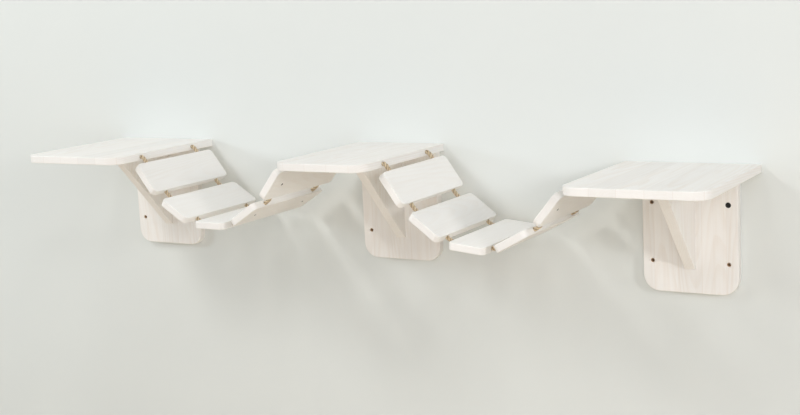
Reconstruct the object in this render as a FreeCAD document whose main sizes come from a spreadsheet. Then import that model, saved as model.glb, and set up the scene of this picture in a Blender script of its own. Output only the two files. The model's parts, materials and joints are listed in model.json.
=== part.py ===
"""Wall mounted cat tree: three bracketed platforms joined by two hanging slat bridges.

X runs along the wall, +Y points into the wall, +Z is up, in millimetres.
The wall is the plane y = 0. The origin is the middle of the four screw holes
of the middle shelf's back plate, on the wall.
"""
import FreeCAD, Part
import math
import os
import Sketcher
from FreeCAD import Placement, Rotation, Vector

doc = FreeCAD.newDocument("cat_tree")
sheet = doc.addObject("Spreadsheet::Sheet", "sizes")

# ---------------------------------------------------------------- driving dimensions
driving_sizes = [
    # platforms
    ("platform_depth", 310, "wall to front edge"),
    ("platform_width", 250, "left and right platforms, along the wall"),
    ("middle_width", 195, "middle platform, along the wall"),
    ("platform_thickness", 15, "board thickness"),
    ("platform_corner", 30, "radius of the front corners"),
    ("edge_ease", 1.5, "rounding along the edges of every board"),
    # back plates
    ("plate_width", 175, "along the wall"),
    ("plate_height", 220, "below the platform"),
    ("plate_thickness", 15, "board thickness"),
    ("plate_corner", 30, "radius of the lower corners"),
    ("hole_spacing", 140, "between the wall holes, along the wall"),
    ("hole_rise", 107, "between the upper and lower wall holes"),
    ("hole_drop", 57, "platform underside to the upper wall holes"),
    ("wall_hole", 5.4, "diameter of the wall holes"),
    ("wall_sink", 10.4, "diameter of their countersinks"),
    # gussets
    ("gusset_depth", 162, "along the platform, out from the plate"),
    ("gusset_height", 175, "down the plate"),
    ("gusset_thickness", 20, "board thickness"),
    ("gusset_nose", 3, "flat left at both tips"),
    # bridge slats
    ("slat_length", 237, "from front to back"),
    ("slat_width", 70, "along the bridge"),
    ("slat_thickness", 14, "board thickness"),
    ("slat_corner", 10, "radius of the four corners"),
    ("slat_back", 34, "wall to the back ends of the slats"),
    # ropes
    ("rope_diameter", 8, "twisted jute"),
    ("rope_play", 0.25, "radial room of a rope in its bore"),
    ("rope_spacing", 163, "between the front and rear rope"),
    ("rope_gap", 22, "free rope between two boards"),
    ("rope_exit", 5, "from a platform's side to the first bend"),
    ("rope_seat", 35, "depth of the rope bores in a platform"),
    # where the shelves hang
    ("left_pitch", 600, "middle of the left shelf to middle of the middle one"),
    ("right_pitch", 597, "middle of the middle shelf to middle of the right one"),
    ("right_drop", 26, "how far the right shelf hangs lower"),
    # fasteners
    ("wall_screw", 5, "shank diameter"),
    ("wall_screw_head", 10, "head diameter"),
    ("wall_screw_length", 50, "over all"),
    ("gusset_screw", 4, "shank diameter"),
    ("gusset_screw_head", 8, "head diameter"),
    ("gusset_screw_length", 45, "over all"),
    ("gusset_screw_top", 45, "platform underside to the upper gusset screw"),
    ("gusset_screw_rise", 75, "between the two gusset screws"),
    ("clamp_screw", 2.4, "shank diameter of the screws that pin the ropes"),
    ("clamp_screw_head", 5, "head diameter"),
    ("clamp_screw_length", 12, "over all"),
    ("clamp_inset", 18, "platform side to its rope screws"),
    ("dowel_diameter", 8, "beech dowels"),
    ("dowel_length", 25, "over all"),
    ("dowel_rise", 10, "length that enters the platform"),
    ("plate_dowel_spacing", 120, "between the two dowels of a plate"),
    ("gusset_dowel_first", 50, "plate front to the first gusset dowel"),
    ("gusset_dowel_step", 55, "between the two gusset dowels"),
    ("fastener_play", 0.05, "radial room round dowels and screws"),
]
for row, (alias, value, meaning) in enumerate(driving_sizes, start=1):
    sheet.set(f"A{row}", meaning)
    sheet.set(f"B{row}", str(value))
    sheet.setAlias(f"B{row}", alias)
doc.recompute()


def size(expression):
    """The value of a sheet name or of a formula in sheet names."""
    return float(sheet.evalExpression(expression))


def bound(expression):
    """The same formula, as a sub-part's own property has to write it."""
    words = "".join(c if c.isalnum() or c in "_." else " " for c in expression).split()
    aliases = {alias for alias, _, _ in driving_sizes}
    for word in sorted(set(words) & aliases, key=len, reverse=True):
        expression = replace_word(expression, word, f"<<sizes>>.{word}")
    return expression


def replace_word(text, word, new):
    """Replace whole words only, so that wall_screw leaves wall_screw_head alone."""
    out, i = "", 0
    while i < len(text):
        j = i
        while j < len(text) and (text[j].isalnum() or text[j] in "_."):
            j += 1
        if j == i:
            out += text[i]
            i += 1
        else:
            token = text[i:j]
            out += new if token == word else token
            i = j
    return out


# ---------------------------------------------------------------- sketch and feature helpers
def new_body(label):
    body = doc.addObject("PartDesign::Body", label)
    body.Label = label
    return body


def new_sketch(body, role, lift="0"):
    """A sketch on one of the body's own planes, lifted along the plane's normal."""
    sketch = body.newObject("Sketcher::SketchObject", body.Label + "_sketch")
    plane = next(f for f in body.Origin.OriginFeatures if f.Role == role)
    sketch.AttachmentSupport = [(plane, "")]
    sketch.MapMode = "FlatFace"
    if lift != "0":
        sketch.setExpression("AttachmentOffset.Base.z", bound(lift))
    return sketch


def pin_point(sketch, element, point, x, y):
    """Hold one point of the sketch at a place written in sheet names."""
    for kind, axis, expression in (("DistanceX", -2, x), ("DistanceY", -1, y)):
        if expression == "0":
            sketch.addConstraint(Sketcher.Constraint("PointOnObject", element, point, axis))
            continue
        held = Sketcher.Constraint(kind, -1, 1, element, point, size(expression))
        index = sketch.addConstraint(held)
        sketch.setExpression(f"Constraints[{index}]", bound(expression))


def draw_outline(sketch, corners):
    """A closed outline of straight lines through corners written in sheet names."""
    places = [Vector(size(x), size(y), 0) for x, y in corners]
    first = sketch.GeometryCount
    for a, b in zip(places, places[1:] + places[:1]):
        sketch.addGeometry(Part.LineSegment(a, b), False)
    for i, (x, y) in enumerate(corners):
        before = first + (i - 1) % len(corners)
        sketch.addConstraint(Sketcher.Constraint("Coincident", before, 2, first + i, 1))
        pin_point(sketch, first + i, 1, x, y)


def draw_circle(sketch, x, y, diameter):
    centre = Vector(size(x), size(y), 0)
    circle = Part.Circle(centre, Vector(0, 0, 1), size(diameter) / 2)
    element = sketch.addGeometry(circle, False)
    pin_point(sketch, element, 3, x, y)
    index = sketch.addConstraint(Sketcher.Constraint("Diameter", element, size(diameter)))
    sketch.setExpression(f"Constraints[{index}]", bound(diameter))


def pad(body, sketch, length, back=False, midplane=False):
    feature = body.newObject("PartDesign::Pad", body.Label + "_pad")
    feature.Profile = sketch
    feature.setExpression("Length", bound(length))
    feature.Reversed = back
    feature.Midplane = midplane
    doc.recompute()
    return feature


def pocket(body, sketch, length, back=False, midplane=False):
    """A straight cut, which has to take something away."""
    before = body.Shape.Volume
    feature = body.newObject("PartDesign::Pocket", body.Label + "_pocket")
    feature.Profile = sketch
    feature.setExpression("Length", bound(length))
    feature.Reversed = back
    feature.Midplane = midplane
    doc.recompute()
    if body.Shape.Volume >= before:
        raise RuntimeError(f"{feature.Name} cuts nothing")


def sunk_holes(body, sketch, diameter, sink, depth, back=False):
    """Countersunk holes at the sketch's circles, drilled to a depth."""
    doc.recompute()
    before = body.Shape.Volume
    hole = body.newObject("PartDesign::Hole", body.Label + "_holes")
    hole.Profile = sketch
    doc.recompute()
    hole.Reversed = back
    hole.Threaded = False
    hole.DepthType = "Dimension"
    hole.DrillPoint = "Flat"
    hole.HoleCutType = "Countersink"
    hole.HoleCutCustomValues = True
    hole.HoleCutCountersinkAngle = 90
    hole.setExpression("Diameter", bound(diameter))
    hole.setExpression("HoleCutDiameter", bound(sink))
    hole.setExpression("Depth", bound(depth))
    doc.recompute()
    if body.Shape.Volume >= before:
        raise RuntimeError(f"{hole.Name} cuts nothing")


def round_edges(body, radius, wanted):
    """Round the edges of the body that the test picks."""
    doc.recompute()
    base = body.Tip
    edges = base.Shape.Edges
    names = [f"Edge{i + 1}" for i, edge in enumerate(edges) if wanted(edge.BoundBox)]
    feature = body.newObject("PartDesign::Fillet", body.Label + "_round")
    feature.Base = (base, names)
    feature.setExpression("Radius", bound(radius))
    doc.recompute()


def near(a, b):
    return abs(a - b) < 1e-4


def flat_at(low, high, level):
    return near(low, level) and near(high, level)


# ---------------------------------------------------------------- fasteners
def turned(label, kind, lengths, at, direction, low):
    """A cylinder or cone that starts low along its axis from a place."""
    thing = doc.addObject(kind, label)
    for name, expression in lengths.items():
        thing.setExpression(name, bound(expression))
    turn = Rotation(Vector(0, 0, 1), direction)
    thing.Placement = Placement(at + direction * low, turn)
    return thing


def countersunk_screw(label, stem, at, direction):
    """A countersunk wood screw, its head flush at a place and its tip along a direction."""
    head_height = f"({stem}_head - {stem}) / 2"
    point = f"{stem} * 1.2"
    shank = f"{stem}_length - {head_height} - {point}"
    half = f"{stem} / 2"
    sizes_of_head = {"Radius1": f"{stem}_head / 2", "Radius2": half, "Height": head_height}
    head = turned(label + "_head", "Part::Cone", sizes_of_head, at, direction, 0)
    sizes_of_shank = {"Radius": half, "Height": shank}
    start = size(head_height)
    body = turned(label + "_shank", "Part::Cylinder", sizes_of_shank, at, direction, start)
    sizes_of_tip = {"Radius1": half, "Radius2": f"{stem} / 10", "Height": point}
    end = start + size(shank)
    tip = turned(label + "_tip", "Part::Cone", sizes_of_tip, at, direction, end)
    screw = doc.addObject("Part::MultiFuse", label)
    screw.Shapes = [head, body, tip]
    return screw


def group(label, pieces):
    """Identical fasteners in one node, each a solid of its own."""
    compound = doc.addObject("Part::Compound", label)
    compound.Label = label
    compound.Links = pieces
    return compound


def dowels(label, places):
    """Upright dowels whose upper ends enter the platform."""
    bottom = size("dowel_rise - dowel_length")
    sizes_of_dowel = {"Radius": "dowel_diameter / 2", "Height": "dowel_length"}
    up = Vector(0, 0, 1)
    pieces = [
        turned(f"{label}_{i}", "Part::Cylinder", sizes_of_dowel, at, up, bottom)
        for i, at in enumerate(places, start=1)
    ]
    return group(label, pieces)


# ---------------------------------------------------------------- shelves
# A shelf's own frame: x = 0 is its middle, y = 0 the wall, z = 0 the platform's top.
front_rope = "slat_back + (slat_length + rope_spacing) / 2"
rear_rope = "slat_back + (slat_length - rope_spacing) / 2"
rope_bore = "rope_diameter + 2 * rope_play"
clamp_hole = "clamp_screw + 2 * fastener_play"
clamp_sink = "clamp_screw_head + 4 * fastener_play"
dowel_hole = "dowel_diameter + 2 * fastener_play"


def platform(label, width, rope_sides):
    """The board that is walked on, with blind rope bores in the sides that carry a bridge."""
    body = new_body(label)
    left, right, front = f"-{width} / 2", f"{width} / 2", "-platform_depth"
    outline = new_sketch(body, "XY_Plane")
    draw_outline(outline, [(left, front), (right, front), (right, "0"), (left, "0")])
    pad(body, outline, "platform_thickness", back=True)
    under = -size("platform_thickness")
    depth = size("platform_depth")
    round_edges(body, "platform_corner", lambda b: b.ZLength > 1 and near(b.YMin, -depth))
    level_edges = lambda b: flat_at(b.ZMin, b.ZMax, 0) or flat_at(b.ZMin, b.ZMax, under)
    round_edges(body, "edge_ease", level_edges)
    for side in rope_sides:
        face = new_sketch(body, "YZ_Plane", f"{side} * {width} / 2")
        for rope in (front_rope, rear_rope):
            draw_circle(face, f"-({rope})", "-platform_thickness / 2", rope_bore)
        pocket(body, face, "rope_seat", back=side < 0)
        pins = new_sketch(body, "XY_Plane", "-platform_thickness")
        for rope in (front_rope, rear_rope):
            draw_circle(pins, f"{side} * ({width} / 2 - clamp_inset)", f"-({rope})", clamp_hole)
        sunk_holes(body, pins, clamp_hole, clamp_sink, "clamp_screw_length", back=True)
    seats = new_sketch(body, "XY_Plane", "-platform_thickness")
    for x, y in plate_dowel_places + gusset_dowel_places:
        draw_circle(seats, x, y, dowel_hole)
    pocket(body, seats, "dowel_rise + fastener_play", back=True)
    return body


def back_plate(label):
    """The upright board against the wall, with four countersunk wall holes."""
    body = new_body(label)
    top = "-platform_thickness"
    bottom = "-(platform_thickness + plate_height)"
    left, right = "-plate_width / 2", "plate_width / 2"
    outline = new_sketch(body, "XZ_Plane")
    draw_outline(outline, [(left, bottom), (right, bottom), (right, top), (left, top)])
    pad(body, outline, "plate_thickness")
    low, high = size(bottom), size(top)
    face = -size("plate_thickness")
    round_edges(body, "plate_corner", lambda b: b.YLength > 1 and near(b.ZMax, low))
    front_edges = lambda b: flat_at(b.YMin, b.YMax, face) and not near(b.ZMin, high)
    round_edges(body, "edge_ease", front_edges)
    wall_holes = new_sketch(body, "XZ_Plane", "plate_thickness")
    for x in ("-hole_spacing / 2", "hole_spacing / 2"):
        for drop in ("hole_drop", "hole_drop + hole_rise"):
            draw_circle(wall_holes, x, f"-(platform_thickness + {drop})", "wall_hole")
    sunk_holes(body, wall_holes, "wall_hole", "wall_sink", "plate_thickness")
    bores = new_sketch(body, "XZ_Plane")
    for drop in gusset_screw_drops:
        draw_circle(bores, "0", f"-(platform_thickness + {drop})", gusset_screw_hole)
    sunk_holes(body, bores, gusset_screw_hole, gusset_screw_sink, "plate_thickness", back=True)
    seats = new_sketch(body, "XY_Plane", "-platform_thickness")
    for x, y in plate_dowel_places:
        draw_circle(seats, x, y, dowel_hole)
    pocket(body, seats, "dowel_length - dowel_rise + fastener_play")
    return body


def gusset(label):
    """The three-cornered board that props the platform off its plate."""
    body = new_body(label)
    back, top = "-plate_thickness", "-platform_thickness"
    front = "-(plate_thickness + gusset_depth)"
    bottom = "-(platform_thickness + gusset_height)"
    outline = new_sketch(body, "YZ_Plane")
    corners = [
        (back, top),
        (front, top),
        (front, f"{top} - gusset_nose"),
        (f"{back} - gusset_nose", bottom),
        (back, bottom),
    ]
    draw_outline(outline, corners)
    pad(body, outline, "gusset_thickness", midplane=True)
    slope = lambda b: b.YLength > 2 * size("gusset_nose") and b.ZLength > 2 * size("gusset_nose")
    round_edges(body, "edge_ease", slope)
    pilots = new_sketch(body, "XZ_Plane", "plate_thickness")
    for drop in gusset_screw_drops:
        draw_circle(pilots, "0", f"-(platform_thickness + {drop})", gusset_screw_hole)
    reach = "gusset_screw_length - plate_thickness + fastener_play"
    pocket(body, pilots, reach, back=True)
    seats = new_sketch(body, "XY_Plane", "-platform_thickness")
    for x, y in gusset_dowel_places:
        draw_circle(seats, x, y, dowel_hole)
    pocket(body, seats, "dowel_length - dowel_rise + fastener_play")
    return body


plate_dowel_places = [
    ("-plate_dowel_spacing / 2", "-plate_thickness / 2"),
    ("plate_dowel_spacing / 2", "-plate_thickness / 2"),
]
gusset_dowel_places = [
    ("0", "-(plate_thickness + gusset_dowel_first)"),
    ("0", "-(plate_thickness + gusset_dowel_first + gusset_dowel_step)"),
]
gusset_screw_drops = ["gusset_screw_top", "gusset_screw_top + gusset_screw_rise"]
gusset_screw_hole = "gusset_screw + 2 * fastener_play"
gusset_screw_sink = "gusset_screw_head + 4 * fastener_play"

# Where each shelf's frame lies, its platform's width, and the sides that carry a bridge.
shelf_top = size("platform_thickness + hole_drop + hole_rise / 2")
right_top = shelf_top - size("right_drop")
shelves = {
    "left": (Vector(-size("left_pitch"), 0, shelf_top), "platform_width", [1]),
    "middle": (Vector(0, 0, shelf_top), "middle_width", [-1, 1]),
    "right": (Vector(size("right_pitch"), 0, right_top), "platform_width", [-1]),
}


def shelf(side):
    """One platform with its plate, gusset and hidden fasteners."""
    corner, width, rope_sides = shelves[side]
    under = Vector(0, 0, -size("platform_thickness"))
    place = Placement(corner, Rotation())
    nodes = [
        platform(f"{side}_platform", width, rope_sides),
        back_plate(f"{side}_back_plate"),
        gusset(f"{side}_gusset"),
        dowels(f"{side}_plate_dowels", [under + spot(x, y) for x, y in plate_dowel_places]),
        dowels(f"{side}_gusset_dowels", [under + spot(x, y) for x, y in gusset_dowel_places]),
    ]
    into_gusset = Vector(0, -1, 0)
    screws = []
    for drop in gusset_screw_drops:
        name = f"{side}_gusset_screw_{len(screws) + 1}"
        at = under - Vector(0, 0, size(drop))
        screws.append(countersunk_screw(name, "gusset_screw", at, into_gusset))
    nodes.append(group(f"{side}_gusset_screws", screws))
    pins = []
    for rope_side in rope_sides:
        for rope in (front_rope, rear_rope):
            across = rope_side * (size(width) / 2 - size("clamp_inset"))
            at = under + Vector(across, -size(rope), 0)
            name = f"{side}_rope_pin_{len(pins) + 1}"
            pins.append(countersunk_screw(name, "clamp_screw", at, Vector(0, 0, 1)))
    nodes.append(group(f"{side}_rope_pins", pins))
    for node in nodes:
        node.Placement = place
    return nodes


def spot(x, y):
    return Vector(size(x), size(y), 0)


# ---------------------------------------------------------------- bridges
slat_count = 5


def hanging_bridge(span, drop):
    """Where the slats come to rest between two rope exits.

    Each slat and half of the rope beside it is one stiff link of a chain, and
    its slope is set by the weight that hangs beyond it: the pull along the
    bridge is the same everywhere, and each slat takes its own weight from the
    upward pull. The pull and the share carried by the left end are found by
    Newton's method, so that the chain ends at the right-hand exit.
    Returns the bend points of the rope and each link's slope downwards.
    """
    width, gap, rope_exit = size("slat_width"), size("rope_gap"), size("rope_exit")
    outer = gap - rope_exit + width + gap / 2
    inner = gap + width
    lengths = [outer] + [inner] * (slat_count - 2) + [outer]
    near_end = (gap - rope_exit + width / 2) / outer
    balance = [near_end] + [0.5] * (slat_count - 2) + [1 - near_end]

    def slopes(pull, share):
        return [
            math.atan(pull * (share - i - (1 - balance[i])))
            for i in range(slat_count)
        ]

    def miss(pull, share):
        angles = slopes(pull, share)
        reach = sum(length * math.cos(a) for length, a in zip(lengths, angles))
        fall = sum(length * math.sin(a) for length, a in zip(lengths, angles))
        return reach - (span - 2 * rope_exit), fall - drop

    pull, share, step = 0.6, slat_count / 2, 1e-6
    for _ in range(40):
        x, z = miss(pull, share)
        pulled, shared = miss(pull + step, share), miss(pull, share + step)
        x_pull, z_pull = (pulled[0] - x) / step, (pulled[1] - z) / step
        x_share, z_share = (shared[0] - x) / step, (shared[1] - z) / step
        scale = x_pull * z_share - x_share * z_pull
        pull -= (x * z_share - z * x_share) / scale
        share -= (z * x_pull - x * z_pull) / scale
    bends = [Vector(rope_exit, 0, 0)]
    for length, angle in zip(lengths, slopes(pull, share)):
        bends.append(bends[-1] + Vector(length * math.cos(angle), 0, -length * math.sin(angle)))
    return bends, slopes(pull, share)


def slat(label):
    """One tread, bored across for both ropes, with a pin hole up into each bore."""
    body = new_body(label)
    half_x, half_y = "slat_width / 2", "slat_length / 2"
    outline = new_sketch(body, "XY_Plane")
    front = [("-" + half_x, "-" + half_y), (half_x, "-" + half_y)]
    back = [(half_x, half_y), ("-" + half_x, half_y)]
    draw_outline(outline, front + back)
    pad(body, outline, "slat_thickness", midplane=True)
    half = size("slat_thickness / 2")
    round_edges(body, "slat_corner", lambda b: b.ZLength > 1)
    level_edges = lambda b: flat_at(b.ZMin, b.ZMax, half) or flat_at(b.ZMin, b.ZMax, -half)
    round_edges(body, "edge_ease", level_edges)
    bores = new_sketch(body, "YZ_Plane")
    for y in ("-rope_spacing / 2", "rope_spacing / 2"):
        draw_circle(bores, y, "0", rope_bore)
    pocket(body, bores, "2 * slat_width", midplane=True)
    pins = new_sketch(body, "XY_Plane", "-slat_thickness / 2")
    for y in ("-rope_spacing / 2", "rope_spacing / 2"):
        draw_circle(pins, "0", y, clamp_hole)
    sunk_holes(body, pins, clamp_hole, clamp_sink, "clamp_screw_length", back=True)
    return body


def slat_pins(label):
    """The two screws that pin a slat to its ropes, from underneath."""
    low = -size("slat_thickness / 2")
    screws = []
    for y in (-size("rope_spacing / 2"), size("rope_spacing / 2")):
        name = f"{label}_{len(screws) + 1}"
        screws.append(countersunk_screw(name, "clamp_screw", Vector(0, y, low), Vector(0, 0, 1)))
    return group(label, screws)


def rope_path(corners, bend_reach):
    """Straight runs joined by tangent arcs, each as large as its gap leaves room for."""
    edges, at = [], corners[0]
    radii = []
    for before, corner, after, reach in zip(corners, corners[1:], corners[2:], bend_reach):
        inward, onward = (before - corner).normalize(), (after - corner).normalize()
        turn = math.pi - inward.getAngle(onward)
        start, end = corner + inward * reach, corner + onward * reach
        radius = reach / math.tan(turn / 2)
        middle = (inward + onward).normalize()
        top = corner + middle * (radius / math.cos(turn / 2) - radius)
        edges.append(Part.LineSegment(at, start).toShape())
        edges.append(Part.Arc(start, top, end).toShape())
        radii.append(round(radius, 1))
        at = end
    edges.append(Part.LineSegment(at, corners[-1]).toShape())
    return Part.Wire(edges), radii


def rope(label, corners, bend_reach, pins):
    """One rope along its whole route, pierced by the screws that pin it."""
    path, radii = rope_path(corners, bend_reach)
    along = (corners[1] - corners[0]).normalize()
    section = Part.Wire(Part.makeCircle(size("rope_diameter / 2"), corners[0], along))
    tube = path.makePipeShell([section], True, False)
    expected = math.pi * size("rope_diameter / 2") ** 2 * path.Length
    filled = tube.Volume / expected
    print(f"{label}: {path.Length:.0f} mm long, bend radii {radii}, volume {filled:.4f}")
    bore = size("clamp_screw / 2 + fastener_play")
    long = size("slat_thickness + platform_thickness")
    for at, up in pins:
        tube = tube.cut(Part.makeCylinder(bore, long, at - up * (long / 2), up))
    node = doc.addObject("Part::Feature", label)
    node.Label = label
    node.Shape = tube
    node.Placement = Placement()
    return node


def bridge(side, from_shelf, to_shelf):
    """Five slats on two ropes between two neighbouring platforms."""
    start, start_width, _ = shelves[from_shelf]
    end, end_width, _ = shelves[to_shelf]
    middle = Vector(0, 0, -size("platform_thickness / 2"))
    left_exit = start + middle + Vector(size(start_width) / 2, 0, 0)
    right_exit = end + middle - Vector(size(end_width) / 2, 0, 0)
    bends, angles = hanging_bridge(right_exit.x - left_exit.x, left_exit.z - right_exit.z)
    bends = [left_exit + bend for bend in bends]
    across = -size("slat_back + slat_length / 2")
    up = Vector(0, 0, 1)
    nodes, pin_lines = [], []
    for i, angle in enumerate(angles):
        along = Vector(math.cos(angle), 0, -math.sin(angle))
        before = size("rope_gap - rope_exit") if i == 0 else size("rope_gap / 2")
        centre = bends[i] + along * (before + size("slat_width / 2"))
        turn = Rotation(Vector(0, 1, 0), math.degrees(angle))
        place = Placement(centre + Vector(0, across, 0), turn)
        for node in (slat(f"{side}_slat_{i + 1}"), slat_pins(f"{side}_slat_{i + 1}_pins")):
            node.Placement = place
            nodes.append(node)
        pin_lines.append((centre, turn.multVec(up)))
        slope = math.degrees(angle)
        print(f"{side} slat {i + 1}: middle {centre.x:.3f} {centre.z:.3f}, slope {slope:.3f}")
    print(f"{side} bridge bends:", [(round(b.x, 4), round(b.z, 4)) for b in bends])
    inset = Vector(size("clamp_inset"), 0, 0)
    pin_lines += [(left_exit - inset, up), (right_exit + inset, up)]
    seat = Vector(size("rope_seat"), 0, 0)
    end_reach = min(size("rope_exit"), size("rope_gap - rope_exit"))
    bend_reach = [end_reach] + [size("rope_gap / 2")] * (slat_count - 1) + [end_reach]
    for name, depth in (("front", front_rope), ("rear", rear_rope)):
        shift = Vector(0, -size(depth), 0)
        route = [left_exit - seat] + bends + [right_exit + seat]
        corners = [corner + shift for corner in route]
        pins = [(at + shift, direction) for at, direction in pin_lines]
        nodes.append(rope(f"{side}_{name}_rope", corners, bend_reach, pins))
    return nodes


def wall_screw(label, side):
    """The screw that holds the right shelf, in its upper right wall hole."""
    corner = shelves[side][0]
    drop = size("platform_thickness + hole_drop")
    at = Vector(size("hole_spacing / 2"), -size("plate_thickness"), -drop)
    screw = countersunk_screw(label, "wall_screw", at, Vector(0, 1, 0))
    screw.Label = label
    screw.Placement = Placement(corner, Rotation())
    return screw


nodes = shelf("left") + shelf("middle") + shelf("right")
nodes += bridge("left", "left", "middle") + bridge("right", "middle", "right")
nodes.append(wall_screw("wall_screw", "right"))
doc.recompute()

# ---------------------------------------------------------------- checks and files
for thing in doc.Objects:
    if any(word in thing.State for word in ("Invalid", "Error")):
        raise RuntimeError(f"{thing.Name} failed: {thing.State}")
for node in nodes:
    if node.Shape.isNull() or not node.Shape.isValid():
        raise RuntimeError(f"{node.Label} has no valid shape")

os.makedirs("parts", exist_ok=True)
for node in nodes:
    node.Shape.exportStep(f"parts/{node.Label}.step")
print(len(nodes), "nodes")
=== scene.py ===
import json
import math

import bmesh
import bpy
import numpy as np
from mathutils import Matrix, Vector


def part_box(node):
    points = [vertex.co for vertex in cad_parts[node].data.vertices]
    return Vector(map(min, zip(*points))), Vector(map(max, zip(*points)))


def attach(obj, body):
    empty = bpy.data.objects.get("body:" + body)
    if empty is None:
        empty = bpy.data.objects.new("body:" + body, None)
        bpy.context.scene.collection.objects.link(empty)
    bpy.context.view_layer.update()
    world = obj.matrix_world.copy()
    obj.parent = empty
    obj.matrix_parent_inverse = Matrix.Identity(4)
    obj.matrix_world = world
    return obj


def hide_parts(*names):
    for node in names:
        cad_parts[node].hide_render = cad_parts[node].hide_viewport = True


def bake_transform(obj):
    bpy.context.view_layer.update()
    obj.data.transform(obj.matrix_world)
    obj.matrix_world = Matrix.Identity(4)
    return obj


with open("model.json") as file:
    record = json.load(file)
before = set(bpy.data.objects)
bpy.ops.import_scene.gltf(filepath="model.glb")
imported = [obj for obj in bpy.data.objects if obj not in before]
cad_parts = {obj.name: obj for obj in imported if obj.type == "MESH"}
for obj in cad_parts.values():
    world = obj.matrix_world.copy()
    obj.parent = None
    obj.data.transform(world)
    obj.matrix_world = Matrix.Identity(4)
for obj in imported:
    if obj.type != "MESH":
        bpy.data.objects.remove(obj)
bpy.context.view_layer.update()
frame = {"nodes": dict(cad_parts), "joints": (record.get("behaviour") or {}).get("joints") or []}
nodes = frame["nodes"]
print("frame loaded:", len(nodes), "nodes")


# ---- node helpers

def put(tree, kind, inputs=(), **settings):
    # One node: its settings by name, its inputs by place or by name.
    node = tree.nodes.new(kind)
    for name, value in settings.items():
        setattr(node, name, value)
    pairs = inputs.items() if isinstance(inputs, dict) else enumerate(inputs)
    for key, value in pairs:
        if isinstance(value, bpy.types.NodeSocket):
            tree.links.new(value, node.inputs[key])
        else:
            node.inputs[key].default_value = value
    return node


def calc(tree, operation, *values):
    # One Math node, as its result.
    return put(tree, "ShaderNodeMath", values, operation=operation).outputs[0]


def plus(tree, a, b):
    return calc(tree, "ADD", a, b)


def minus(tree, a, b):
    return calc(tree, "SUBTRACT", a, b)


def times(tree, a, b):
    return calc(tree, "MULTIPLY", a, b)


def timesPlus(tree, value, factor, more):
    return calc(tree, "MULTIPLY_ADD", value, factor, more)


def distance(tree, a, b):
    # The root of the sum of two squares.
    return calc(tree, "SQRT", plus(tree, times(tree, a, a), times(tree, b, b)))


def ramp(tree, value, span, toLow=0.0, toHigh=1.0):
    # Smooth rise or fall from toLow to toHigh while the value crosses the span.
    low, high = span
    inputs = {"Value": value, "From Min": low, "From Max": high, "To Min": toLow, "To Max": toHigh}
    return put(tree, "ShaderNodeMapRange", inputs, interpolation_type="SMOOTHSTEP").outputs[0]


def stretched(tree, vector, factors):
    # The vector times a factor per axis.
    return put(tree, "ShaderNodeVectorMath", (vector, factors), operation="MULTIPLY").outputs[0]


def moved(tree, vector, shift):
    # The vector with the same number added on all three axes.
    return put(tree, "ShaderNodeVectorMath", (vector, shift), operation="ADD").outputs[0]


def noise(tree, vector, scale=1.0, detail=2.0, roughness=0.5):
    inputs = {"Vector": vector, "Scale": scale, "Detail": detail, "Roughness": roughness}
    return put(tree, "ShaderNodeTexNoise", inputs).outputs[0]


def blendColour(tree, factor, a, b, how="MIX"):
    node = put(tree, "ShaderNodeMix", data_type="RGBA", blend_type=how)
    for key, value in (("Factor_Float", factor), ("A_Color", a), ("B_Color", b)):
        socket = next(s for s in node.inputs if s.identifier == key)
        if isinstance(value, bpy.types.NodeSocket):
            tree.links.new(value, socket)
        else:
            socket.default_value = value
    return next(s for s in node.outputs if s.identifier == "Result_Color")


def shaded(tree, body, light):
    # The colour times a number.
    even = put(tree, "ShaderNodeCombineColor", (light, light, light)).outputs[0]
    return blendColour(tree, 1.0, body, even, "MULTIPLY")


def raiseSurface(tree, surface, height, strength, relief):
    bump = put(tree, "ShaderNodeBump", {"Strength": strength, "Distance": relief, "Height": height})
    tree.links.new(bump.outputs["Normal"], surface.inputs["Normal"])


def objectPlace(tree):
    return put(tree, "ShaderNodeTexCoord").outputs["Object"]


def newGroup(name, inputs, outputs):
    # A shader node group with its named sockets, and its two end nodes.
    group = bpy.data.node_groups.new(name, "ShaderNodeTree")
    for label, kind, value in inputs:
        socket = group.interface.new_socket(label, in_out="INPUT", socket_type=kind)
        if value is not None:
            socket.default_value = value
    for label in outputs:
        group.interface.new_socket(label, in_out="OUTPUT", socket_type="NodeSocketFloat")
    return group, group.nodes.new("NodeGroupInput"), group.nodes.new("NodeGroupOutput")


def newMaterial(name, **shader):
    # A material with a Principled shader, its plain numbers set by their sockets' names.
    material = bpy.data.materials.new(name)
    material.use_nodes = True
    tree = material.node_tree
    tree.nodes.clear()
    surface = put(tree, "ShaderNodeBsdfPrincipled", {k.replace("_", " "): v for k, v in shader.items()})
    end = tree.nodes.new("ShaderNodeOutputMaterial")
    tree.links.new(surface.outputs[0], end.inputs[0])
    return material, tree, surface


def colour(r, g, b):
    return (r, g, b, 1.0)


# ---- shared effects

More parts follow.
